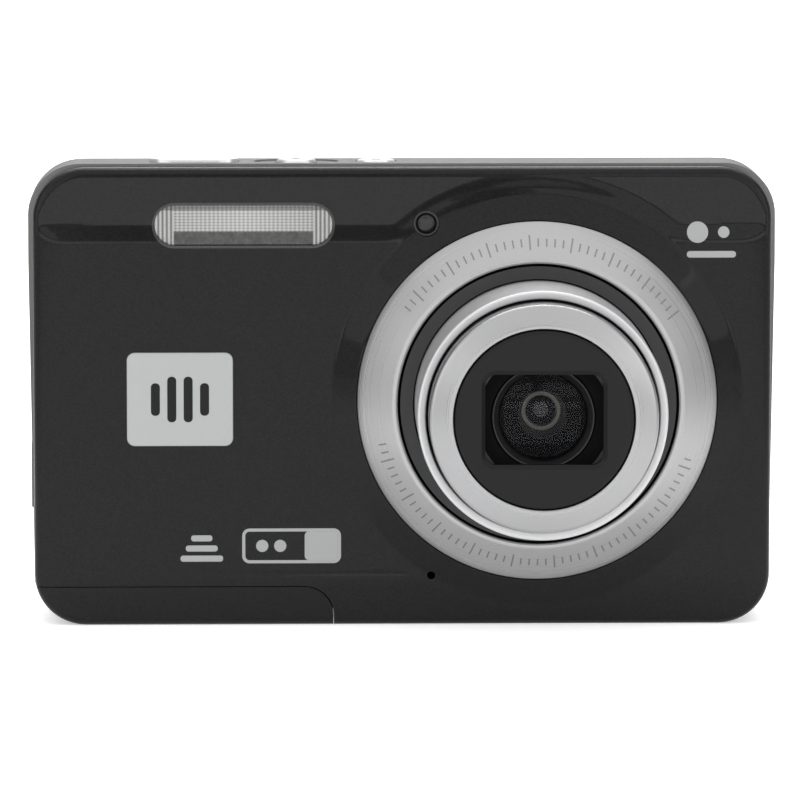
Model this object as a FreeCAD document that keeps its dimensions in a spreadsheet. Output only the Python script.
"""Compact digital camera with a collapsible zoom lens, as separate pieces.

The frame: X runs to the right as the front is seen, Y runs from front to back, Z is up.
The origin is the mouth of the tripod socket, on the flat base, half way along the body.
All sizes are in millimetres. Driving sizes are cells of the sheet called Dims.
"""
import FreeCAD, Part
import math
import os
import re

import Sketcher

Vector = FreeCAD.Vector
Rotation = FreeCAD.Rotation
Placement = FreeCAD.Placement

DIMENSIONS = [
    # casing
    ("body_width", 91.5), ("body_height", 56.5), ("cover_width", 90.2), ("cover_height", 56.2),
    ("corner_rad", 6.3), ("wall", 1.2), ("edge_rad", 0.8), ("seam", 0.1),
    ("front_face", -7.8), ("front_rim", -7.2), ("front_inner", -6.4), ("front_seam", -4.2),
    ("rear_seam", 4.6), ("rear_inner", 8.8), ("rear_face", 10.0), ("floor_front", -4.1),
    ("slope_side", 4.4), ("slope_top", 7.6), ("slope_foot", 6.2), ("band_foot", 4.9),
    # lens axis and turned parts
    ("lens_x", 16.4), ("lens_z", 27.8), ("collar_rad", 25.0), ("collar_front", -9.0),
    ("ring_rad", 22.0), ("ring_bore", 17.1), ("ring_front", -12.9), ("ring_back", -7.82),
    ("base_rad", 20.4), ("base_bore", 19.2), ("base_front", -6.3), ("base_back", 3.4), ("base_floor", 2.5),
    ("cam_rad", 16.8), ("cam_bore", 15.25), ("cam_front", -12.6), ("cam_back", 2.3),
    ("outer_rad", 15.05), ("outer_bore", 13.95), ("outer_front", -25.6), ("outer_back", -9.75),
    ("cap_rad", 13.74), ("cap_bore", 12.7), ("cap_edge", -28.7), ("cap_front", -29.9), ("cap_back", -16.7),
    ("plate_rad", 10.7), ("window_wide", 14.1), ("window_tall", 10.8), ("window_rad", 1.3),
    ("retract", 12.0), ("retract_turn", 110.0), ("tele_turn", 8.25), ("follower_y", -10.7),
    ("follower_rad", 0.5), ("blade_travel", 5.45), ("blade_rad", 12.4), ("blade_front", -28.6),
    ("blade_back", -28.2), ("blade_pin_x", 8.3), ("blade_pin_z", 8.1), ("barrier_turn", 28.0),
    ("glass_rad", 5.9), ("iris_rad", 1.85),
    # zoom drive
    ("gear_module", 0.5), ("cam_teeth", 72.0), ("idler_teeth", 14.0), ("pinion_teeth", 9.0),
    ("train_angle", -45.0), ("gear_front", 0.9), ("gear_back", 2.2),
    # flash and lamp
    ("flash_x", -19.4), ("flash_z", 49.2), ("flash_wide", 22.0), ("flash_tall", 5.15),
    ("lamp_x", 2.9), ("lamp_z", 49.4), ("lamp_rad", 1.48), ("mic_x", 3.5), ("mic_z", 6.15),
    # battery door
    ("door_end", -8.5), ("door_top", 4.75), ("door_rad", 3.6), ("door_back", 6.55),
    ("hinge_y", 8.0), ("hinge_z", 1.0), ("hinge_rad", 0.5), ("hinge_left", -39.3), ("hinge_right", -10.5),
    # battery bay
    ("bay_left", -40.4), ("bay_right", -10.0), ("bay_front", -5.8), ("bay_back", 0.2), ("bay_foot", 3.6),
    ("bay_top", 44.4), ("bay_wall", 0.5),
    # screen
    ("screen_x", 12.5), ("screen_z", 27.5), ("screen_wide", 60.5), ("screen_tall", 46.5),
    # keys
    ("shutter_x", -25.4), ("power_x", -12.9), ("mode_x", -3.1), ("key_y", 0.2), ("key_gap", 0.15),
    ("rocker_x", -31.5), ("rocker_z", 49.6), ("pad_x", -31.2), ("pad_z", 22.0), ("pad_rad", 8.4), ("ok_rad", 3.3),
    ("small_rad", 2.6), ("board_front", 6.4), ("board_back", 6.8),
    # tripod socket
    ("socket_rad", 2.55), ("socket_outer", 3.6), ("socket_deep", 5.0),
    # side fittings
    ("eyelet_z", 37.8), ("eyelet_tall", 6.6), ("port_y", 1.5), ("port_z", 17.8), ("port_tall", 8.4),
]
ALIASES = {name for name, _ in DIMENSIONS}
PLANES = {"front": "XZ_Plane", "top": "XY_Plane", "side": "YZ_Plane"}

doc = FreeCAD.newDocument("compact_camera")
sheet = doc.addObject("Spreadsheet::Sheet", "Dims")
for row, (alias, size) in enumerate(DIMENSIONS, start=1):
    sheet.set(f"A{row}", alias)
    sheet.set(f"B{row}", str(size))
    sheet.setAlias(f"B{row}", alias)
doc.recompute()

pieces = []


# ---------------------------------------------------------------- expressions
def value(text):
    """The number that an expression in sheet aliases comes to."""
    result = sheet.evalExpression(str(text))
    return float(getattr(result, "Value", result))


def bound(text):
    """The same expression with each alias written as Dims.alias, for use outside the sheet."""
    return re.sub(r"[a-z_]+", lambda m: "Dims." + m[0] if m[0] in ALIASES else m[0], str(text))


def tie(item, **expressions):
    """Bind properties of a document object to expressions. A double underscore stands for a dot."""
    for key, text in expressions.items():
        item.setExpression(key.replace("__", "."), bound(text))
    return item


def keep(item, label):
    """Mark a document object as a finished piece with this label."""
    item.Label = label
    pieces.append(item)
    return item


# ---------------------------------------------------------------- part design
def new_body(name):
    return doc.addObject("PartDesign::Body", "Body_" + name)


def sketch_on(body, plane, level, across="0", up="0"):
    """A sketch parallel to an origin plane. Level is Y for front, Z for top and X for side."""
    sketch = body.newObject("Sketcher::SketchObject", "Sketch")
    role = PLANES[plane]
    support = [item for item in body.Origin.OriginFeatures if item.Role == role][0]
    sketch.AttachmentSupport = [(support, "")]
    sketch.MapMode = "FlatFace"
    offset = f"-({level})" if plane == "front" else level
    tie(sketch, AttachmentOffset__Base__z=offset, AttachmentOffset__Base__x=across, AttachmentOffset__Base__y=up)
    return sketch


def pin_point(sketch, geometry, end, x, y):
    """Fix one point of a sketch at two expressions."""
    for kind, text in (("DistanceX", x), ("DistanceY", y)):
        index = sketch.addConstraint(Sketcher.Constraint(kind, -1, 1, geometry, end, value(text)))
        sketch.setExpression(f"Constraints[{index}]", bound(text))


def polygon(sketch, points):
    """A closed outline of straight lines through points given as pairs of expressions."""
    spots = [Vector(value(x), value(y), 0) for x, y in points]
    first = sketch.GeometryCount
    count = len(spots)
    for i in range(count):
        sketch.addGeometry(Part.LineSegment(spots[i], spots[(i + 1) % count]), False)
    for i in range(count):
        after = first + (i + 1) % count
        sketch.addConstraint(Sketcher.Constraint("Coincident", first + i, 2, after, 1))
    for i, (x, y) in enumerate(points):
        pin_point(sketch, first + i, 1, x, y)
    return sketch


def circle(sketch, x, y, rad):
    """A circle whose centre and radius are expressions."""
    index = sketch.addGeometry(Part.Circle(Vector(value(x), value(y), 0), Vector(0, 0, 1), value(rad)), False)
    pin_point(sketch, index, 3, x, y)
    size = sketch.addConstraint(Sketcher.Constraint("Radius", index, value(rad)))
    sketch.setExpression(f"Constraints[{size}]", bound(rad))
    return sketch


def rounded(sketch, left, right, low, high, rad):
    """A rectangle with four equal round corners, from its four sides."""
    x0, x1, y0, y1, r = (value(text) for text in (left, right, low, high, rad))
    n = sketch.GeometryCount
    lines = [((x0 + r, y0), (x1 - r, y0)), ((x1, y0 + r), (x1, y1 - r)),
             ((x1 - r, y1), (x0 + r, y1)), ((x0, y1 - r), (x0, y0 + r))]
    corners = [(x1 - r, y0 + r, -90), (x1 - r, y1 - r, 0), (x0 + r, y1 - r, 90), (x0 + r, y0 + r, 180)]
    for start, end in lines:
        sketch.addGeometry(Part.LineSegment(Vector(*start, 0), Vector(*end, 0)), False)
    for cx, cy, turn in corners:
        ring = Part.Circle(Vector(cx, cy, 0), Vector(0, 0, 1), r)
        begin = math.radians(turn)
        sketch.addGeometry(Part.ArcOfCircle(ring, begin, begin + math.pi / 2), False)
    for i in range(4):
        arc = n + 4 + i
        sketch.addConstraint(Sketcher.Constraint("Tangent", n + i, 2, arc, 1))
        sketch.addConstraint(Sketcher.Constraint("Tangent", arc, 2, n + (i + 1) % 4, 1))
        sketch.addConstraint(Sketcher.Constraint("Horizontal" if i % 2 == 0 else "Vertical", n + i))
        if i:
            sketch.addConstraint(Sketcher.Constraint("Equal", n + 4, arc))
    size = sketch.addConstraint(Sketcher.Constraint("Radius", n + 4, r))
    sketch.setExpression(f"Constraints[{size}]", bound(rad))
    sides = [("DistanceY", n, low), ("DistanceX", n + 1, right), ("DistanceY", n + 2, high), ("DistanceX", n + 3, left)]
    for kind, line, text in sides:
        index = sketch.addConstraint(Sketcher.Constraint(kind, -1, 1, line, 1, value(text)))
        sketch.setExpression(f"Constraints[{index}]", bound(text))
    return sketch


def pad(body, sketch, length, reverse=False):
    feature = body.newObject("PartDesign::Pad", "Pad")
    feature.Profile = sketch
    feature.Reversed = reverse
    tie(feature, Length=length)
    doc.recompute()
    return feature


def pocket(body, sketch, length, reverse=False):
    """Cut a sketch into the body, against the sketch's normal, or along it when reversed."""
    before = body.Shape.Volume
    feature = body.newObject("PartDesign::Pocket", "Pocket")
    feature.Profile = sketch
    feature.Reversed = reverse
    tie(feature, Length=length)
    doc.recompute()
    if body.Shape.Volume > before - 1e-4:
        raise RuntimeError(f"a pocket of {body.Name} cut nothing")
    return feature


def spin(body, sketch, groove=False):
    """Turn a sketch a full circle about its own vertical axis."""
    feature = body.newObject("PartDesign::Groove" if groove else "PartDesign::Revolution", "Turn")
    feature.Profile = sketch
    feature.ReferenceAxis = (sketch, ["V_Axis"])
    feature.Angle = 360.0
    doc.recompute()
    return feature


def soften(body, chosen, size):
    """Round the edges that a test picks, by a radius or less where it doesn't fit."""
    names = [f"Edge{i}" for i, edge in enumerate(body.Shape.Edges, start=1) if chosen(edge)]
    if not names:
        raise RuntimeError(f"no edge to round on {body.Name}")
    base = body.Tip
    feature = body.newObject("PartDesign::Fillet", "Fillet")
    feature.Base = (base, names)
    tie(feature, Radius=size)
    doc.recompute()
    return feature


def turned(label, points, x="lens_x", z="lens_z"):
    """A piece turned about an axis along Y, from a profile of radius and Y pairs."""
    body = new_body(label)
    profile = sketch_on(body, "top", z, across=x)
    polygon(profile, points)
    spin(body, profile)
    return keep(body, label)


def plate(label, left, right, low, high, front, back, rad=None):
    """A slab facing the front: a rectangle, with round corners if a radius is given."""
    body = new_body(label)
    face = sketch_on(body, "front", back)
    if rad is None:
        polygon(face, [(left, low), (right, low), (right, high), (left, high)])
    else:
        rounded(face, left, right, low, high, rad)
    pad(body, face, f"({back}) - ({front})")
    return keep(body, label)


def cut_rect(body, left, right, low, high, front, back, rad=None):
    """Cut a rectangular hole between two levels of Y."""
    face = sketch_on(body, "front", front)
    if rad is None:
        polygon(face, [(left, low), (right, low), (right, high), (left, high)])
    else:
        rounded(face, left, right, low, high, rad)
    pocket(body, face, f"({back}) - ({front})")


def cut_round(body, x, z, rad, front, back):
    """Cut a round hole along Y between two levels."""
    face = circle(sketch_on(body, "front", front), x, z, rad)
    pocket(body, face, f"({back}) - ({front})")


# ---------------------------------------------------------------- primitives
def brick(name, x, y, z, dx, dy, dz):
    """A box from its lowest corner and its three lengths."""
    item = doc.addObject("Part::Box", name)
    return tie(item, Length=dx, Width=dy, Height=dz, Placement__Base__x=x, Placement__Base__y=y,
               Placement__Base__z=z)


def rod(name, x, y, z, rad, length, along="z"):
    """A cylinder from the centre of its first end, along X, Y or Z."""
    item = doc.addObject("Part::Cylinder", name)
    turns = {"x": Rotation(Vector(0, 1, 0), 90), "y": Rotation(Vector(1, 0, 0), -90), "z": Rotation()}
    item.Placement = Placement(Vector(), turns[along])
    return tie(item, Radius=rad, Height=length, Placement__Base__x=x, Placement__Base__y=y, Placement__Base__z=z)


def fused(name, parts):
    item = doc.addObject("Part::MultiFuse", name)
    item.Shapes = parts
    return item


def less(name, base, tool):
    item = doc.addObject("Part::Cut", name)
    item.Base = base
    item.Tool = tool
    return item


def together(name, parts):
    """Separate solids that share one node."""
    item = doc.addObject("Part::Compound", name)
    item.Links = parts
    return item


def polar(rad, degrees, x="lens_x", z="lens_z"):
    """X and Z of a point round an axis along Y. The angle runs from +X towards +Z."""
    turn = math.radians(degrees)
    return value(x) + rad * math.cos(turn), value(z) + rad * math.sin(turn)


def spoke(name, degrees, y, inner, outer, rad):
    """A round pin that points straight out from the lens axis."""
    item = doc.addObject("Part::Cylinder", name)
    x, z = polar(value(inner), degrees)
    turn = Rotation(Vector(0, 1, 0), -degrees).multiply(Rotation(Vector(0, 1, 0), 90))
    item.Placement = Placement(Vector(x, value(y), z), turn)
    return tie(item, Radius=rad, Height=f"({outer}) - ({inner})")


def solid(name, shape):
    """A hidden tool solid made in code, for forms that no feature makes directly."""
    item = doc.addObject("Part::Feature", name)
    item.Shape = shape
    return item


def slab(name, points, front, back):
    """A straight-sided solid between two levels of Y, from X and Z pairs."""
    spots = [Vector(x, value(front), z) for x, z in points]
    face = Part.Face(Part.makePolygon(spots + spots[:1]))
    return solid(name, face.extrude(Vector(0, value(back) - value(front), 0)))


def screw(name, x, y, z, axis):
    """Small machine screw: a flat head with a crossed recess, and a shank. The axis points into the part."""
    head = Part.makeCylinder(1.1, 0.55, Vector(), Vector(0, 0, 1))
    shank = Part.makeCylinder(0.6, 2.0, Vector(0, 0, 0.5), Vector(0, 0, 1))
    slot = Part.makeBox(1.3, 0.26, 0.3, Vector(-0.65, -0.13, -0.02))
    cross = slot.fuse(slot.rotated(Vector(), Vector(0, 0, 1), 90))
    shape = head.fuse(shank).cut(cross)
    shape.Placement = Placement(Vector(x, y, z), Rotation(Vector(0, 0, 1), Vector(*axis)))
    return solid(name, shape)


# ---------------------------------------------------------------- casing
HALF = "cover_width / 2"
SHOULDER = "body_width / 2"
SIDE_SCREWS = [(-1, 28.5), (-1, 46.5), (1, 14.0), (1, 46.5)]
BASE_SCREWS = [(38.0, 0.4), (14.0, 1.0)]
SMALL_KEYS = [
    ("menu_button", -38.2, 35.6, 2.6), ("play_button", -24.4, 35.6, 2.6),
    ("delete_button", -24.4, 8.6, 2.6), ("record_button", -40.0, 42.6, 1.9),
]


def lies_along_y(edge):
    ends = [vertex.Point for vertex in edge.Vertexes]
    return len(ends) == 2 and abs(ends[0].x - ends[1].x) < 1e-4 and abs(ends[0].z - ends[1].z) < 1e-4


def lies_at_y(level):
    return lambda edge: edge.BoundBox.YLength < 1e-4 and abs(edge.BoundBox.YMin - level) < 1e-4


def casing_front(body, back):
    """The filled front form of the casing, from its face back to a level of Y."""
    edges = (f"-({HALF})", HALF, "0", "cover_height", "corner_rad")
    pad(body, rounded(sketch_on(body, "front", back), *edges), f"({back}) - front_rim")
    rim = rounded(sketch_on(body, "front", "front_rim"), *edges)
    face = rounded(sketch_on(body, "front", "front_face"), f"-({HALF}) + slope_side", f"{HALF} - slope_side",
                   "slope_foot", "cover_height - slope_top", "corner_rad / 3")
    loft = body.newObject("PartDesign::AdditiveLoft", "Slope")
    loft.Profile = rim
    loft.Sections = [face]
    loft.Ruled = True
    doc.recompute()
    soften(body, lies_at_y(value("front_rim")), "edge_rad")


def cut_door_opening(body, front, back):
    """Clear the room of the battery door, which has one round corner, from a shell."""
    cut_rect(body, f"-({HALF}) - 3", "door_end + seam", "-door_rad - 3", "door_top + seam", front, back, "door_rad")


def make_front_cover():
    """Painted front shell: a face that falls away to its rim, and a flared collar for the lens ring."""
    body = new_body("front_cover")
    casing_front(body, "front_seam")
    cut_rect(body, f"-({HALF}) + wall", f"{HALF} - wall", "wall", "cover_height - wall", "front_inner",
             "front_seam", "corner_rad - wall")
    collar = sketch_on(body, "top", "lens_z", across="lens_x")
    polygon(collar, [("ring_rad + 0.1", "front_face + 0.5"), ("collar_rad", "front_face + 0.5"),
                     ("collar_rad", "front_face"), ("collar_rad - 1.1", "front_face - 0.3"),
                     ("collar_rad - 1.9", "front_face - 0.75"), ("ring_rad + 0.5", "collar_front"),
                     ("ring_rad + 0.1", "collar_front")])
    spin(body, collar)
    cut_round(body, "lens_x", "lens_z", "ring_bore + 0.8", "collar_front - 1", "front_seam")
    cut_rect(body, "flash_x - flash_wide / 2", "flash_x + flash_wide / 2", "flash_z - flash_tall / 2",
             "flash_z + flash_tall / 2", "front_face - 1", "front_inner + 1", "flash_tall / 2 - 0.02")
    cut_round(body, "lamp_x", "lamp_z", "lamp_rad + 0.1", "front_face - 1", "front_inner + 1")
    cut_round(body, "mic_x", "mic_z", "0.5", "front_face - 1", "front_inner + 1")
    cut_door_opening(body, "front_face - 1", "front_seam + 1")
    keep(body, "front_cover")


def cut_key_round(body, x, rad):
    hole = circle(sketch_on(body, "top", "body_height + 1"), x, "key_y", rad)
    pocket(body, hole, "wall + 2")


def cut_side(body, side, y0, y1, low, high, rad, deep):
    """Cut a rounded hole into a side wall of the body. Side is 1 at the right and -1 at the left."""
    hole = sketch_on(body, "side", f"{side} * ({SHOULDER} + 1)")
    rounded(hole, y0, y1, low, high, rad)
    pocket(body, hole, f"{deep} + 1", reverse=side < 0)


def make_center_band():
    """Arch over the top and down both sides, between the front and the rear shell."""
    body = new_body("center_band")
    foot = f"{HALF} + 0.05"
    knee = "body_height - 12"
    arch = sketch_on(body, "front", "rear_seam - seam")
    polygon(arch, [(f"-({foot})", "band_foot"), (f"-({foot}) + wall", "band_foot"),
                   (f"-({SHOULDER}) + wall", knee), (f"-({SHOULDER}) + wall", "body_height - wall"),
                   (f"{SHOULDER} - wall", "body_height - wall"), (f"{SHOULDER} - wall", knee),
                   (f"{foot} - wall", "band_foot"), (foot, "band_foot"), (SHOULDER, knee),
                   (SHOULDER, "body_height"), (f"-({SHOULDER})", "body_height"), (f"-({SHOULDER})", knee)])
    pad(body, arch, "rear_seam - front_seam - 2 * seam")
    for level, size in (("body_height", "corner_rad"), ("body_height - wall", "corner_rad - wall")):
        top = value(level)
        soften(body, lambda edge: lies_along_y(edge) and abs(edge.BoundBox.ZMin - top) < 0.01, size)
    pill = sketch_on(body, "top", "body_height + 1")
    rounded(pill, "shutter_x - 5.5", "shutter_x + 5.5", "key_y - 2.6", "key_y + 2.6", "2.58")
    pocket(body, pill, "wall + 2")
    dish = sketch_on(body, "top", "body_height + 1")
    rounded(dish, "power_x - 5.2", "power_x + 5.2", "key_y - 3.1", "key_y + 3.1", "3.08")
    pocket(body, dish, "1.2")
    cut_key_round(body, "power_x", "2.45 + key_gap")
    cut_key_round(body, "mode_x", "2.4 + key_gap")
    cut_side(body, -1, "-2.3", "2.3", "eyelet_z - eyelet_tall / 2", "eyelet_z + eyelet_tall / 2", "1.2", "wall + 1")
    cut_side(body, -1, "port_y - 2.4", "port_y + 2.4", "port_z - port_tall / 2", "port_z + port_tall / 2", "0.8", "1.25")
    cut_side(body, -1, "port_y - 1.5", "port_y + 1.5", "port_z - 3.9", "port_z + 3.9", "0.4", "wall + 1")
    for side, z in SIDE_SCREWS:
        edge = f"{side} * ({SHOULDER} + 1)"
        level = side_level(z)
        head = circle(sketch_on(body, "side", edge), "0.2", z, 1.15)
        pocket(body, head, f"{SHOULDER} + 1 - {level} + 0.6", reverse=side < 0)
        shank = circle(sketch_on(body, "side", edge), "0.2", z, 0.65)
        pocket(body, shank, "wall + 2", reverse=side < 0)
    keep(body, "center_band")


def side_level(z):
    """How far out the side of the band is at a height: it leans in below its knee."""
    knee, foot = value("body_height - 12"), value("band_foot")
    wide, narrow = value(SHOULDER), value(f"{HALF} + 0.05")
    return round(wide if z >= knee else narrow + (wide - narrow) * (z - foot) / (knee - foot), 4)


def make_rear_cover():
    """Rear shell with a floor that runs forward under the body."""
    body = new_body("rear_cover")
    edges = (f"-({HALF})", HALF, "0", "cover_height", "corner_rad")
    pad(body, rounded(sketch_on(body, "front", "rear_face"), *edges), "rear_face - rear_seam")
    soften(body, lies_at_y(value("rear_face")), "edge_rad")
    pad(body, rounded(sketch_on(body, "front", "rear_seam + 1"), *edges), "rear_seam + 1 - floor_front")
    cut_rect(body, f"-({HALF}) - 3", f"{HALF} + 3", "band_foot - seam", "cover_height + 3",
             "floor_front - 1", "rear_seam")
    cut_rect(body, f"-({HALF}) + wall", f"{HALF} - wall", "wall", "cover_height - wall", "floor_front - 1",
             "rear_inner", "corner_rad - wall")
    rib = sketch_on(body, "front", "rear_inner + 0.2")
    polygon(rib, [("hinge_left - 2", "wall - 0.5"), ("hinge_right + 2", "wall - 0.5"), ("hinge_right + 2", "2.9"),
                  ("hinge_left - 2", "2.9")])
    pad(body, rib, "rear_inner + 0.2 - door_back - 0.45")
    cut_door_opening(body, "floor_front - 1", "door_back + 0.4")
    cut_rect(body, "hinge_left - 0.1", "hinge_right + 0.1", "-1", "2.3", "door_back", "hinge_y + 1.15")
    axle = circle(sketch_on(body, "side", "hinge_right + 1.3"), "hinge_y", "hinge_z", "hinge_rad + 0.02")
    pocket(body, axle, "hinge_right - hinge_left + 2.6")
    cut_rect(body, "screen_x - screen_wide / 2 - 0.1", "screen_x + screen_wide / 2 + 0.1",
             "screen_z - screen_tall / 2 - 0.1", "screen_z + screen_tall / 2 + 0.1", "9.03", "rear_face + 1", "1.6")
    cut_rect(body, "screen_x - 28.6", "screen_x + 28.6", "screen_z - 21.6", "screen_z + 21.6", "rear_inner - 1",
             "rear_face", "1")
    cut_round(body, "pad_x", "pad_z", "pad_rad + key_gap", "rear_inner - 1", "rear_face + 1")
    cut_rect(body, "rocker_x - 7.15", "rocker_x + 7.15", "rocker_z - 2.65", "rocker_z + 2.65", "rear_inner - 1",
             "rear_face + 1", "2.6")
    for _, x, z, rad in SMALL_KEYS:
        cut_round(body, x, z, f"{rad} + key_gap", "rear_inner - 1", "rear_face + 1")
    cut_round(body, "-20.6", "49.6", "0.75", "rear_inner - 1", "rear_face + 1")
    for i in range(3):
        cut_round(body, f"-41.2 + {i} * 1.3", "9.0", "0.35", "rear_inner - 1", "rear_face + 1")
    socket = circle(sketch_on(body, "top", "wall + 1"), "0", "0", "socket_outer + 0.02")
    pocket(body, socket, "wall + 2")
    for x, y in BASE_SCREWS:
        head = circle(sketch_on(body, "top", "-1"), x, y, 1.15)
        pocket(body, head, "1.6", reverse=True)
        shank = circle(sketch_on(body, "top", "-1"), x, y, 0.65)
        pocket(body, shank, "wall + 2", reverse=True)
    keep(body, "rear_cover")


def make_battery_door():
    """Tray at the left of the base that wraps on to the front and the side."""
    body = new_body("battery_door")
    casing_front(body, "door_back")
    cut_rect(body, f"-({HALF}) + 1.3", HALF, "1.35", "cover_height + 3", "front_inner", "door_back + 1", "5")
    latch = sketch_on(body, "top", "-1")
    rounded(latch, "-33.3", "-26.0", "-1.7", "1.7", "0.5")
    pocket(body, latch, "3", reverse=True)
    seat = sketch_on(body, "top", "0.8")
    rounded(seat, "-34.4", "-24.9", "-2.4", "2.4", "0.5")
    pocket(body, seat, "1", reverse=True)
    region = new_body("door_region")
    outline = sketch_on(region, "front", "door_back")
    rounded(outline, f"-({HALF}) - 3", "door_end", "-door_rad - 3", "door_top", "door_rad")
    pad(region, outline, "door_back - front_face + 1")
    floor = brick("door_floor_trim", "-60", "-20", "-1", "80", "40", "1.05")
    shape = doc.addObject("Part::MultiCommon", "door_tray")
    shape.Shapes = [body, region]
    keep(less("battery_door_solid", shape, floor), "battery_door")


make_front_cover()
make_center_band()
make_rear_cover()
make_battery_door()


# ---------------------------------------------------------------- casing fittings
def make_casing_fittings():
    """Windows, emblem, screen glass, tripod socket, strap eyelet, port cover and screws."""
    turned("lens_ring", [("ring_bore", "ring_front"), ("ring_bore + 0.4", "ring_front"), ("ring_rad", "-9.3"),
                         ("ring_rad", "ring_back"), ("ring_bore + 0.75", "ring_back"),
                         ("ring_bore + 0.75", "front_inner"), ("ring_bore", "front_inner")])
    plate("flash_window", "flash_x - flash_wide / 2 + 0.1", "flash_x + flash_wide / 2 - 0.1",
          "flash_z - flash_tall / 2 + 0.1", "flash_z + flash_tall / 2 - 0.1", "front_face + 0.2", "front_inner",
          "flash_tall / 2 - 0.12")
    turned("lamp_window", [("0", "front_face + 0.1"), ("lamp_rad - 0.3", "front_face + 0.1"),
                           ("lamp_rad", "front_face + 0.4"), ("lamp_rad", "front_inner"), ("0", "front_inner")],
           x="lamp_x", z="lamp_z")
    plate("emblem_plate", "-33.7", "-20.7", "22.2", "33.7", "front_face - 0.35", "front_face", "1.2")
    plate("screen_glass", "screen_x - screen_wide / 2", "screen_x + screen_wide / 2",
          "screen_z - screen_tall / 2", "screen_z + screen_tall / 2", "9.05", "9.95", "1.5")
    plate("status_lens", "-21.2", "-20.0", "49.0", "50.2", "8.2", "rear_face", "0.59")
    socket = new_body("tripod_socket")
    outline = sketch_on(socket, "side", "0")
    polygon(outline, [("0", "0"), ("socket_outer", "0"), ("socket_outer", "wall + 0.05"), ("4.8", "wall + 0.05"),
                      ("4.8", "wall + 0.65"), ("socket_outer", "wall + 0.65"), ("socket_outer", "socket_deep + 0.6"),
                      ("0", "socket_deep + 0.6")])
    spin(socket, outline)
    bore = circle(sketch_on(socket, "top", "-1"), "0", "0", "socket_rad")
    pocket(socket, bore, "socket_deep + 1", reverse=True)
    keep(socket, "tripod_socket")
    cup = brick("eyelet_cup", f"-({SHOULDER}) + wall + 0.3", "-2.9", "eyelet_z - eyelet_tall / 2 - 0.7", "3.1", "5.8",
                "eyelet_tall + 1.4")
    well = brick("eyelet_well", f"-({SHOULDER}) - 1", "-2.1", "eyelet_z - eyelet_tall / 2", "wall + 3.7", "4.2",
                 "eyelet_tall")
    post = rod("eyelet_post", f"-({SHOULDER}) + 2.25", "0", "eyelet_z - eyelet_tall / 2 - 0.3", "0.75",
               "eyelet_tall + 0.6")
    keep(fused("strap_eyelet_solid", [less("eyelet_shell", cup, well), post]), "strap_eyelet")
    low = "port_z - port_tall / 2"
    lean = (side_level(value(low)) + side_level(value("port_z + port_tall / 2"))) / 2
    flap = new_body("port_cover")
    outline = sketch_on(flap, "side", str(round(-lean - 0.25, 3)))
    rounded(outline, "port_y - 2.25", "port_y + 2.25", f"{low} + 0.15", "port_z + port_tall / 2 - 0.15", "0.75")
    pad(flap, outline, "0.95")
    keep(flap, "port_cover")
    sides = [screw(f"side_screw_{i}", side * (side_level(z) - 0.05), 0.2, z, (-side, 0, 0))
             for i, (side, z) in enumerate(SIDE_SCREWS)]
    keep(together("side_screw_set", sides), "side_screws")
    feet = [screw(f"base_screw_{i}", x, y, 0.05, (0, 0, 1)) for i, (x, y) in enumerate(BASE_SCREWS)]
    keep(together("base_screw_set", feet), "base_screws")


# ---------------------------------------------------------------- lens
def gear_outline(teeth, first, x, z):
    """X and Z points of an involute gear at 25 degrees, with stub teeth. First is the angle of one tooth."""
    module, pressure = value("gear_module"), math.radians(25)
    pitch, play = module * teeth / 2, 0.05
    base, tip, root = pitch * math.cos(pressure), pitch + 0.8 * module, pitch - 1.1 * module
    low = max(base, root)
    roll = math.tan(pressure) - pressure
    flank = []
    for i in range(5):
        rad = low + (tip - low) * i / 4
        bend = math.acos(min(1.0, base / rad))
        half = math.pi / (2 * teeth) - play / pitch + roll - (math.tan(bend) - bend)
        flank.append((rad, half))
    profile = [(root, -flank[0][1])] if root < low else []
    profile += [(rad, -half) for rad, half in flank] + [(rad, half) for rad, half in reversed(flank)]
    profile += [(root, flank[0][1])] if root < low else []
    points = []
    for i in range(teeth):
        middle = math.radians(first) + 2 * math.pi * i / teeth
        points += [(x + rad * math.cos(middle + turn), z + rad * math.sin(middle + turn)) for rad, turn in profile]
    return points


def gear(name, teeth, first, centre, bore):
    """A spur gear with a plain bore, between the two gear levels of Y."""
    wheel = slab(name + "_teeth", gear_outline(int(value(teeth)), first, *centre), "gear_front", "gear_back")
    hole = rod(name + "_bore", str(centre[0]), "gear_front - 1", str(centre[1]), bore, "gear_back - gear_front + 2", "y")
    return less(name + "_wheel", wheel, hole)


def helical_slot(degrees):
    """Tool for one cam slot: a block swept along a helix on the lens axis, with round ends."""
    per_turn = value("retract * 360 / retract_turn")
    span = value("retract * (1 + tele_turn / retract_turn)")
    start = degrees - value("retract_turn")
    width = value("follower_rad + 0.08")
    back = value("follower_y + retract")
    helix = Part.makeHelix(per_turn, span, 16.0)
    corners = [Vector(14.6, 0, -width), Vector(17.0, 0, -width), Vector(17.0, 0, width), Vector(14.6, 0, width)]
    sweep = Part.BRepOffsetAPI.MakePipeShell(helix)
    sweep.setFrenetMode(True)
    sweep.add(Part.Wire(Part.makePolygon(corners + corners[:1]).Edges))
    sweep.build()
    sweep.makeSolid()
    tool = sweep.shape()
    for height in (0, span):
        turn = math.radians(360 * height / per_turn)
        out = Vector(math.cos(turn), math.sin(turn), 0)
        end = Part.makeCylinder(width, 2.4, out * 14.6 + Vector(0, 0, height), out)
        tool = tool.fuse(end)
    tool.Placement = Placement(Vector(value("lens_x"), back, value("lens_z")),
                               Rotation(Vector(1, 0, 0), 90).multiply(Rotation(Vector(0, 0, 1), start)))
    return solid("cam_slot", tool)


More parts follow.
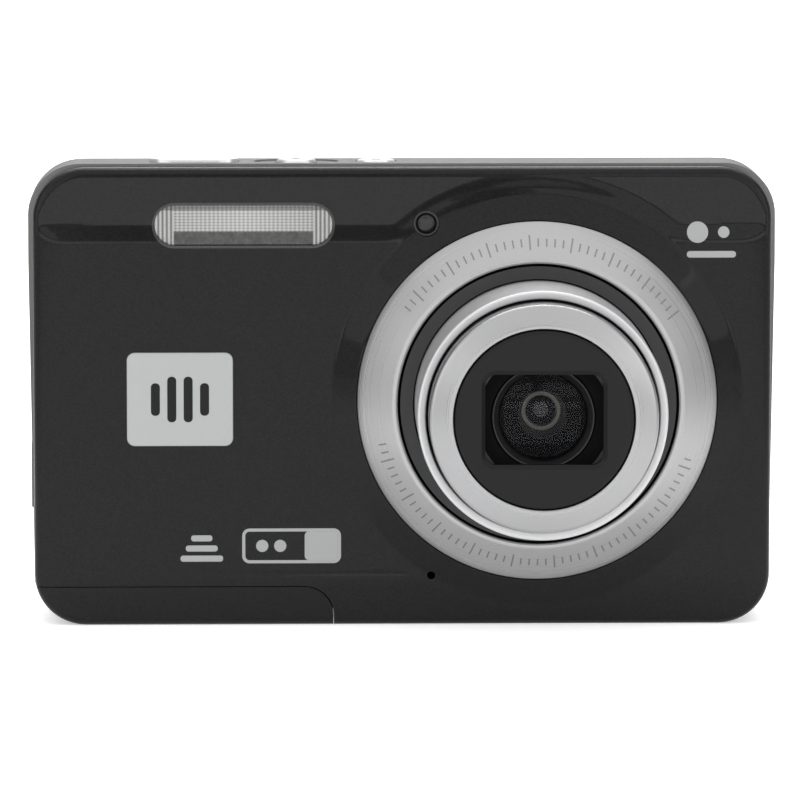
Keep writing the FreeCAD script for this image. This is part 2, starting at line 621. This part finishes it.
def make_cam_ring():
    """Turning sleeve with three helical slots and a gear at its back end."""
    sleeve = turned("cam_sleeve", [("cam_bore", "cam_front"), ("cam_rad", "cam_front"), ("cam_rad", "cam_back"),
                                   ("cam_bore", "cam_back")])
    pieces.remove(sleeve)
    rim = gear("cam", "cam_teeth", 0, (value("lens_x"), value("lens_z")), "cam_rad - 0.4")
    slots = together("cam_slots", [helical_slot(turn) for turn in (90, 210, 330)])
    keep(less("cam_ring_solid", fused("cam_blank", [sleeve, rim]), slots), "cam_ring")


def make_barrels():
    """Two telescoping barrels, with the disc, glass and barrier that the front one carries."""
    tube = turned("outer_tube", [("outer_bore", "outer_front"), ("outer_rad - 0.25", "outer_front"),
                                 ("outer_rad", "outer_front + 0.25"), ("outer_rad", "outer_back"),
                                 ("outer_bore", "outer_back")])
    pieces.remove(tube)
    pins = [spoke("follower", turn, "follower_y", "outer_rad - 0.6", "cam_rad - 0.1", "follower_rad")
            for turn in (90, 210, 330)]
    keep(fused("outer_barrel_solid", [tube] + pins), "outer_barrel")
    turned("front_barrel", [("plate_rad + 0.05", "cap_front"), ("plate_rad + 0.35", "cap_front"),
                            ("cap_rad", "cap_edge"), ("cap_rad", "cap_back"), ("cap_bore", "cap_back"),
                            ("cap_bore", "-26.0"), ("glass_rad + 1", "-26.0"), ("glass_rad + 1", "-23.3"),
                            ("glass_rad + 0.05", "-23.3"), ("glass_rad + 0.05", "-26.8"), ("cap_bore", "-26.8"),
                            ("cap_bore", "-28.75"), ("plate_rad + 0.05", "-28.75")])
    disc = turned("front_plate", [("0", "-30.0"), ("plate_rad - 0.2", "-30.0"), ("plate_rad", "-29.8"),
                                  ("plate_rad", "-28.85"), ("0", "-28.85")])
    disc.Label = "front_plate"
    cut_rect(disc, "lens_x - window_wide / 2", "lens_x + window_wide / 2", "lens_z - window_tall / 2",
             "lens_z + window_tall / 2", "-31", "-28", "window_rad")
    turned("front_lens", [("0", "-26.4"), ("2", "-26.3"), ("4", "-25.95"), ("glass_rad", "-25.3"),
                          ("glass_rad", "-23.5"), ("0", "-23.5")])
    make_barrier()
    turned("shutter_unit", [("iris_rad", "-19.8"), ("11.4", "-19.8"), ("11.4", "-15.4"), ("10.6", "-15.4"),
                            ("10.6", "-19.0"), ("6.5", "-19.0"), ("6.5", "-16.2"), ("iris_rad", "-16.8")])
    carriage = turned("focus_cell", [("0", "-1.3"), ("5.6", "-1.3"), ("6.4", "-1.5"), ("6.4", "0.5"), ("0", "0.2")])
    pieces.remove(carriage)
    arms, holes = [carriage], []
    for turn in (30, 210):
        x, z = polar(9.6, turn)
        arm = Part.makeBox(4.4, 1.2, 1.6, Vector(5.4, -0.9, -0.8))
        arm.Placement = Placement(Vector(value("lens_x"), 0, value("lens_z")), Rotation(Vector(0, 1, 0), -turn))
        arms += [solid("focus_arm", arm), rod("focus_boss", str(x), "-1.4", str(z), "1.2", "1.8", "y")]
        holes.append(rod("focus_hole", str(x), "-3", str(z), "0.5", "6", "y"))
    keep(less("focus_carriage_solid", fused("focus_blank", arms), together("focus_holes", holes)), "focus_carriage")


def make_barrier():
    """Two blades that shut over the window, and the ring whose slots move them."""
    blades = []
    for name, side in (("upper_blade", 1), ("lower_blade", -1)):
        disc = rod(name + "_disc", "lens_x", "blade_front", "lens_z", "blade_rad", "blade_back - blade_front", "y")
        edge = "lens_z + window_tall / 2 + 0.06" if side > 0 else "lens_z - window_tall / 2 - 0.06 - 20"
        half = brick(name + "_half", "lens_x - 20", "blade_front - 1", edge, "40", "3", "20")
        shape = doc.addObject("Part::MultiCommon", name + "_shape")
        shape.Shapes = [disc, half]
        pin = rod(name + "_pin", f"lens_x + {side} * blade_pin_x", "blade_back - 0.1",
                  f"lens_z + {side} * blade_pin_z", "0.4", "0.9", "y")
        blades.append(keep(fused(name + "_solid", [shape, pin]), name))
    ring = turned("barrier_disc", [("8.0", "-28.0"), ("12.35", "-28.0"), ("12.35", "-27.5"), ("8.0", "-27.5")])
    pieces.remove(ring)
    tools = []
    for side in (1, -1):
        for step in range(9):
            part = step / 8
            turn = math.radians(value("barrier_turn")) * part
            x = side * value("blade_pin_x")
            z = side * (value("blade_pin_z") - value("blade_travel") * part)
            u = x * math.cos(turn) - z * math.sin(turn)
            v = x * math.sin(turn) + z * math.cos(turn)
            tools.append(rod("barrier_slot", f"lens_x + {u}", "-29", f"lens_z + {v}", "0.55", "3", "y"))
    keep(less("barrier_ring_solid", ring, fused("barrier_slots", tools)), "barrier_ring")


def make_lens_base():
    """Fixed cup at the back of the lens, with the gear plate, and what is mounted on it."""
    cup = turned("base_cup", [("base_bore", "base_front"), ("base_rad", "base_front"), ("base_rad", "base_back"),
                              ("0", "base_back"), ("0", "base_floor"), ("base_bore", "base_floor")])
    pieces.remove(cup)
    cut_rect(cup, "lens_x - 8", "lens_x + 8", "lens_z - 7", "lens_z + 7", "base_floor - 1", "base_back + 1", "0.5")
    idler = polar(value("gear_module * (cam_teeth + idler_teeth) / 2"), value("train_angle"))
    pinion = polar(value("gear_module * (cam_teeth + 2 * idler_teeth + pinion_teeth) / 2"), value("train_angle"))
    ledge = slab("gear_plate", [(26, 14), (26, 4), (38.6, 4), (40.6, 6), (40.6, 17.5), (31, 17.5)], "base_floor", "base_back")
    post = rod("idler_post", str(idler[0]), "gear_front - 0.2", str(idler[1]), "0.6", "base_back - gear_front", "y")
    window = rod("gear_window", str(idler[0]), "gear_front - 0.2", str(idler[1]), "4.1", "gear_back - gear_front + 0.4", "y")
    blank = less("cup_opened", cup, window)
    keep(fused("lens_base_solid", [blank, ledge, post]), "lens_base")
    half_tooth = 180 / value("idler_teeth")
    keep(gear("idler", "idler_teeth", value("train_angle") + half_tooth, idler, "0.65"), "idler_gear")
    keep(gear("pinion", "pinion_teeth", value("train_angle") + 180, pinion, "0.55"), "motor_pinion")
    x, z = (str(number) for number in pinion)
    can = rod("motor_can", x, "-6.2", z, "4", "6.6", "y")
    shaft = rod("motor_shaft", x, "0.3", z, "0.5", "2.0", "y")
    boss = rod("motor_boss", x, "0.3", z, "1.2", "0.4", "y")
    keep(fused("zoom_motor_solid", [can, shaft, boss]), "zoom_motor")
    rods = []
    for turn in (30, 210):
        x, z = (str(number) for number in polar(9.6, turn))
        rods.append(rod("guide_rod", x, "-2.05", z, "0.45", "base_floor + 2.05", "y"))
    keep(together("guide_rod_set", rods), "guide_rods")
    plate("image_sensor", "lens_x - 6", "lens_x + 6", "lens_z - 5", "lens_z + 5", "1.3", "3.0")
    plate("sensor_board", "lens_x - 7.8", "lens_x + 7.8", "lens_z - 6.8", "lens_z + 6.8", "3.0", "3.4", "0.48")


make_casing_fittings()
make_cam_ring()
make_barrels()
make_lens_base()


# ---------------------------------------------------------------- electronics
CHIPS = [(-36.0, 12.0, 7.0, 7.0), (-26.0, 30.0, 9.0, 9.0), (-7.0, 40.0, 8.0, 6.0), (-9.0, 12.0, 6.0, 5.0),
         (36.0, 34.0, 7.0, 9.0), (37.0, 20.0, 5.0, 4.0), (-28.0, 46.0, 5.0, 3.0), (8.0, 46.5, 12.0, 3.0)]


def make_electronics():
    """Boards, screen, battery and its box, card slot, flash parts and port socket."""
    chassis = plate("chassis_plate", "-41", "43", "6.5", "44", "3.7", "4.2", "2")
    cut_rect(chassis, "lens_x - 9", "lens_x + 9", "lens_z - 8", "lens_z + 8", "3", "5", "1")
    cut_rect(chassis, "-36", "-16", "14", "34", "3", "5", "1")
    main = plate("main_board", "-41.5", "42.5", "6.5", "50", "4.6", "5.4", "2")
    cut_round(main, "-38", "47.5", "1.1", "4", "6")
    cut_round(main, "40.5", "47.5", "1.1", "4", "6")
    chips = [brick(f"chip_{i}", x - dx / 2, "5.4", z - dz / 2, dx, "0.7", dz) for i, (x, z, dx, dz) in enumerate(CHIPS)]
    keep(together("chip_set", chips), "board_chips")
    plate("screen_panel", "screen_x - 28.3", "screen_x + 28.3", "screen_z - 21.3", "screen_z + 21.3", "6.7", "9.03", "0.8")
    back = plate("rear_board_blank", "-43", "-18.6", "5.6", "53.5", "board_front", "board_back", "1.5")
    pieces.remove(back)
    domes = [rod("rear_dome", str(x), "board_back", str(z), "1.3", "0.35", "y")
             for x, z in [(x, z) for _, x, z, _ in SMALL_KEYS] + [(-31.2, 22.0), (-35.9, 49.6), (-27.1, 49.6),
                                                                 (-31.2, 28.0), (-31.2, 16.0), (-37.2, 22.0), (-25.2, 22.0)]]
    keep(fused("rear_board_solid", [back] + domes), "rear_switch_board")
    strip = brick("top_board_blank", "-33", "-2.6", "52.3", "33.5", "5.6", "0.5")
    domes = [rod("top_dome", x, "key_y", "52.8", "1.3", "0.35") for x in ("shutter_x", "power_x", "mode_x")]
    keep(fused("top_board_solid", [strip] + domes), "top_switch_board")
    shell = brick("bay_shell", "bay_left - bay_wall", "bay_front - bay_wall", "bay_foot - 0.4",
                  "bay_right - bay_left + 2 * bay_wall", "bay_back - bay_front + 2 * bay_wall",
                  "bay_top - bay_foot + bay_wall + 0.4")
    room = brick("bay_room", "bay_left", "bay_front", "bay_foot - 2", "bay_right - bay_left", "bay_back - bay_front",
                 "bay_top - bay_foot + 2")
    keep(less("battery_box_solid", shell, room), "battery_box")
    pack = new_body("battery")
    outline = sketch_on(pack, "top", "bay_foot + 0.2")
    rounded(outline, "bay_left + 0.2", "bay_right - 0.2", "bay_front + 0.2", "bay_back - 0.2", "1.2")
    pad(pack, outline, "39.8")
    keep(pack, "battery")
    leaves = [brick(f"contact_{i}", f"bay_left + 6 + {i} * 4", "bay_front + 1.5", "bay_foot + 40.05", "1.8", "3",
                    "bay_top - bay_foot - 40.05") for i in range(3)]
    keep(together("contact_set", leaves), "battery_contacts")
    shell = brick("card_shell", "-38", "1.0", "7", "26", "2.5", "30")
    room = brick("card_room", "-37.7", "1.3", "5", "25.4", "1.9", "31")
    keep(less("card_slot_solid", shell, room), "card_slot")
    trough = brick("trough_shell", "flash_x - 10.4", "-6.3", "flash_z - 2.3", "20.8", "4.2", "4.6")
    room = brick("trough_room", "flash_x - 9.9", "-7.0", "flash_z - 1.9", "19.8", "4.5", "3.8")
    keep(less("flash_reflector_solid", trough, room), "flash_reflector")
    keep(rod("flash_tube_solid", "flash_x - 9.6", "-4.0", "flash_z", "0.9", "19.2", "x"), "flash_tube")
    keep(rod("flash_capacitor_solid", "-36", "0.8", "48.3", "2.9", "27", "x"), "flash_capacitor")
    shell = brick("socket_shell", "-44.3", "0.35", "port_z - 3.7", "5.4", "2.3", "7.4")
    room = brick("socket_room", "-45", "0.65", "port_z - 3.4", "5.2", "1.7", "6.8")
    tongue = brick("socket_tongue", "-43.6", "1.25", "port_z - 2.6", "4.0", "0.5", "5.2")
    port = fused("usb_port", [less("usb_shell", shell, room), tongue])
    box = brick("usb_clear", "-41.3", "-6", "0", "8", "7.0", "60")
    keep(less("usb_socket_solid", port, box), "usb_socket")


# ---------------------------------------------------------------- keys and door hinge
def round_key(label, x, z, rad):
    """A round rear key: cap, and a wider foot that keeps it in its hole."""
    turned(label, [("0", "rear_face + 0.3"), (f"{rad} - 0.3", "rear_face + 0.3"), (rad, "rear_face + 0.05"),
                   (rad, "rear_inner - 0.05"), (f"{rad} + 0.5", "rear_inner - 0.05"), (f"{rad} + 0.5", "rear_inner - 0.4"),
                   ("0.9", "rear_inner - 0.4"), ("0.9", "board_back + 0.95"), ("0", "board_back + 0.95")], x=str(x), z=str(z))


def top_key(label, x, rad, proud):
    """A round top key, turned about an axis along Z."""
    body = new_body(label)
    profile = sketch_on(body, "front", "key_y", across=x)
    top = f"body_height + {proud}"
    polygon(profile, [("0", top), (f"{rad} - 0.25", top), (rad, f"{top} - 0.25"), (rad, "body_height - wall - 0.05"),
                      (f"{rad} + 0.5", "body_height - wall - 0.05"), (f"{rad} + 0.5", "body_height - wall - 0.5"),
                      ("0.9", "body_height - wall - 0.5"), ("0.9", "53.7"), ("0", "53.7")])
    spin(body, profile)
    keep(body, label)


def make_keys():
    """Every key of the top and the back, and the ring that the four-way pad tilts on."""
    for label, x, z, rad in SMALL_KEYS:
        round_key(label, x, z, rad)
    turned("ok_button", [("0", "rear_face + 0.45"), ("ok_rad - 0.3", "rear_face + 0.45"), ("ok_rad", "rear_face + 0.15"),
                         ("ok_rad", "rear_inner - 0.1"), ("0.9", "rear_inner - 0.1"), ("0.9", "board_back + 0.95"),
                         ("0", "board_back + 0.95")], x="pad_x", z="pad_z")
    turned("nav_pad", [("ok_rad + 0.25", "rear_face + 0.2"), ("ok_rad + 0.6", "rear_face + 0.5"),
                       ("pad_rad - 1.0", "rear_face + 0.5"), ("pad_rad", "rear_face + 0.05"),
                       ("pad_rad", "rear_inner - 0.2"), ("ok_rad + 0.25", "rear_inner - 0.2")], x="pad_x", z="pad_z")
    turned("pad_carrier", [("4.6", "7.85"), ("6.8", "7.85"), ("6.8", "8.3"), ("4.6", "8.3")], x="pad_x", z="pad_z")
    plate("zoom_rocker_cap", "rocker_x - 7", "rocker_x + 7", "rocker_z - 2.5", "rocker_z + 2.5", "rear_inner - 0.2",
          "rear_face + 0.45", "2.45")
    rocker = pieces.pop()
    foot = brick("rocker_foot", "rocker_x - 1.2", "board_back + 0.3", "rocker_z - 1.5", "2.4", "1.6", "3")
    keep(fused("zoom_rocker_solid", [rocker, foot]), "zoom_rocker")
    pill = new_body("shutter_button")
    flange = sketch_on(pill, "top", "body_height - wall - 0.5")
    rounded(flange, "shutter_x - 6.0", "shutter_x + 6.0", "key_y - 2.95", "key_y + 2.95", "2.9")
    pad(pill, flange, "0.45")
    cap = sketch_on(pill, "top", "body_height - wall - 0.2")
    rounded(cap, "shutter_x - 5.35", "shutter_x + 5.35", "key_y - 2.45", "key_y + 2.45", "2.43")
    pad(pill, cap, "wall + 0.2 + 0.4")
    stem = circle(sketch_on(pill, "top", "53.95"), "shutter_x", "key_y", "0.9")
    pad(pill, stem, "body_height - wall - 0.3 - 53.95")
    keep(pill, "shutter_button")
    top_key("power_button", "power_x", "2.45", "0.3")
    top_key("mode_button", "mode_x", "2.4", "0.2")


def make_door_hinge():
    """Pin, hinge plate and latch of the battery door."""
    keep(rod("hinge_pin_solid", "hinge_left - 1.2", "hinge_y", "hinge_z", "hinge_rad", "hinge_right - hinge_left + 2.4",
             "x"), "door_hinge_pin")
    knuckle = rod("knuckle", "hinge_left", "hinge_y", "hinge_z", "0.95", "hinge_right - hinge_left", "x")
    leaf = brick("hinge_leaf", "hinge_left", "3.2", "1.45", "hinge_right - hinge_left", "hinge_y - 3.2", "0.3")
    bore = rod("hinge_bore", "hinge_left - 1", "hinge_y", "hinge_z", "hinge_rad + 0.04", "hinge_right - hinge_left + 2", "x")
    keep(less("door_hinge_solid", fused("hinge_blank", [knuckle, leaf]), bore), "door_hinge_plate")
    knob = brick("latch_knob", "-32.9", "-1.5", "0.1", "5.2", "3", "0.75")
    foot = brick("latch_foot", "-34.2", "-2.25", "0.85", "7.8", "4.5", "0.45")
    ridges = together("latch_grooves", [brick(f"latch_groove_{i}", -32.3 + i * 1.0, "-2", "0", "0.4", "4", "0.25")
                                        for i in range(5)])
    keep(less("battery_latch_solid", fused("latch_blank", [knob, foot]), ridges), "battery_latch")


make_electronics()
make_keys()
make_door_hinge()


# ---------------------------------------------------------------- write
doc.recompute()
os.makedirs("parts", exist_ok=True)
for piece in pieces:
    if "Invalid" in piece.State or "Error" in piece.State or piece.Shape.isNull() or not piece.Shape.isValid():
        raise RuntimeError(f"{piece.Label} is not sound")
    piece.Shape.exportStep(f"parts/{piece.Label}.step")
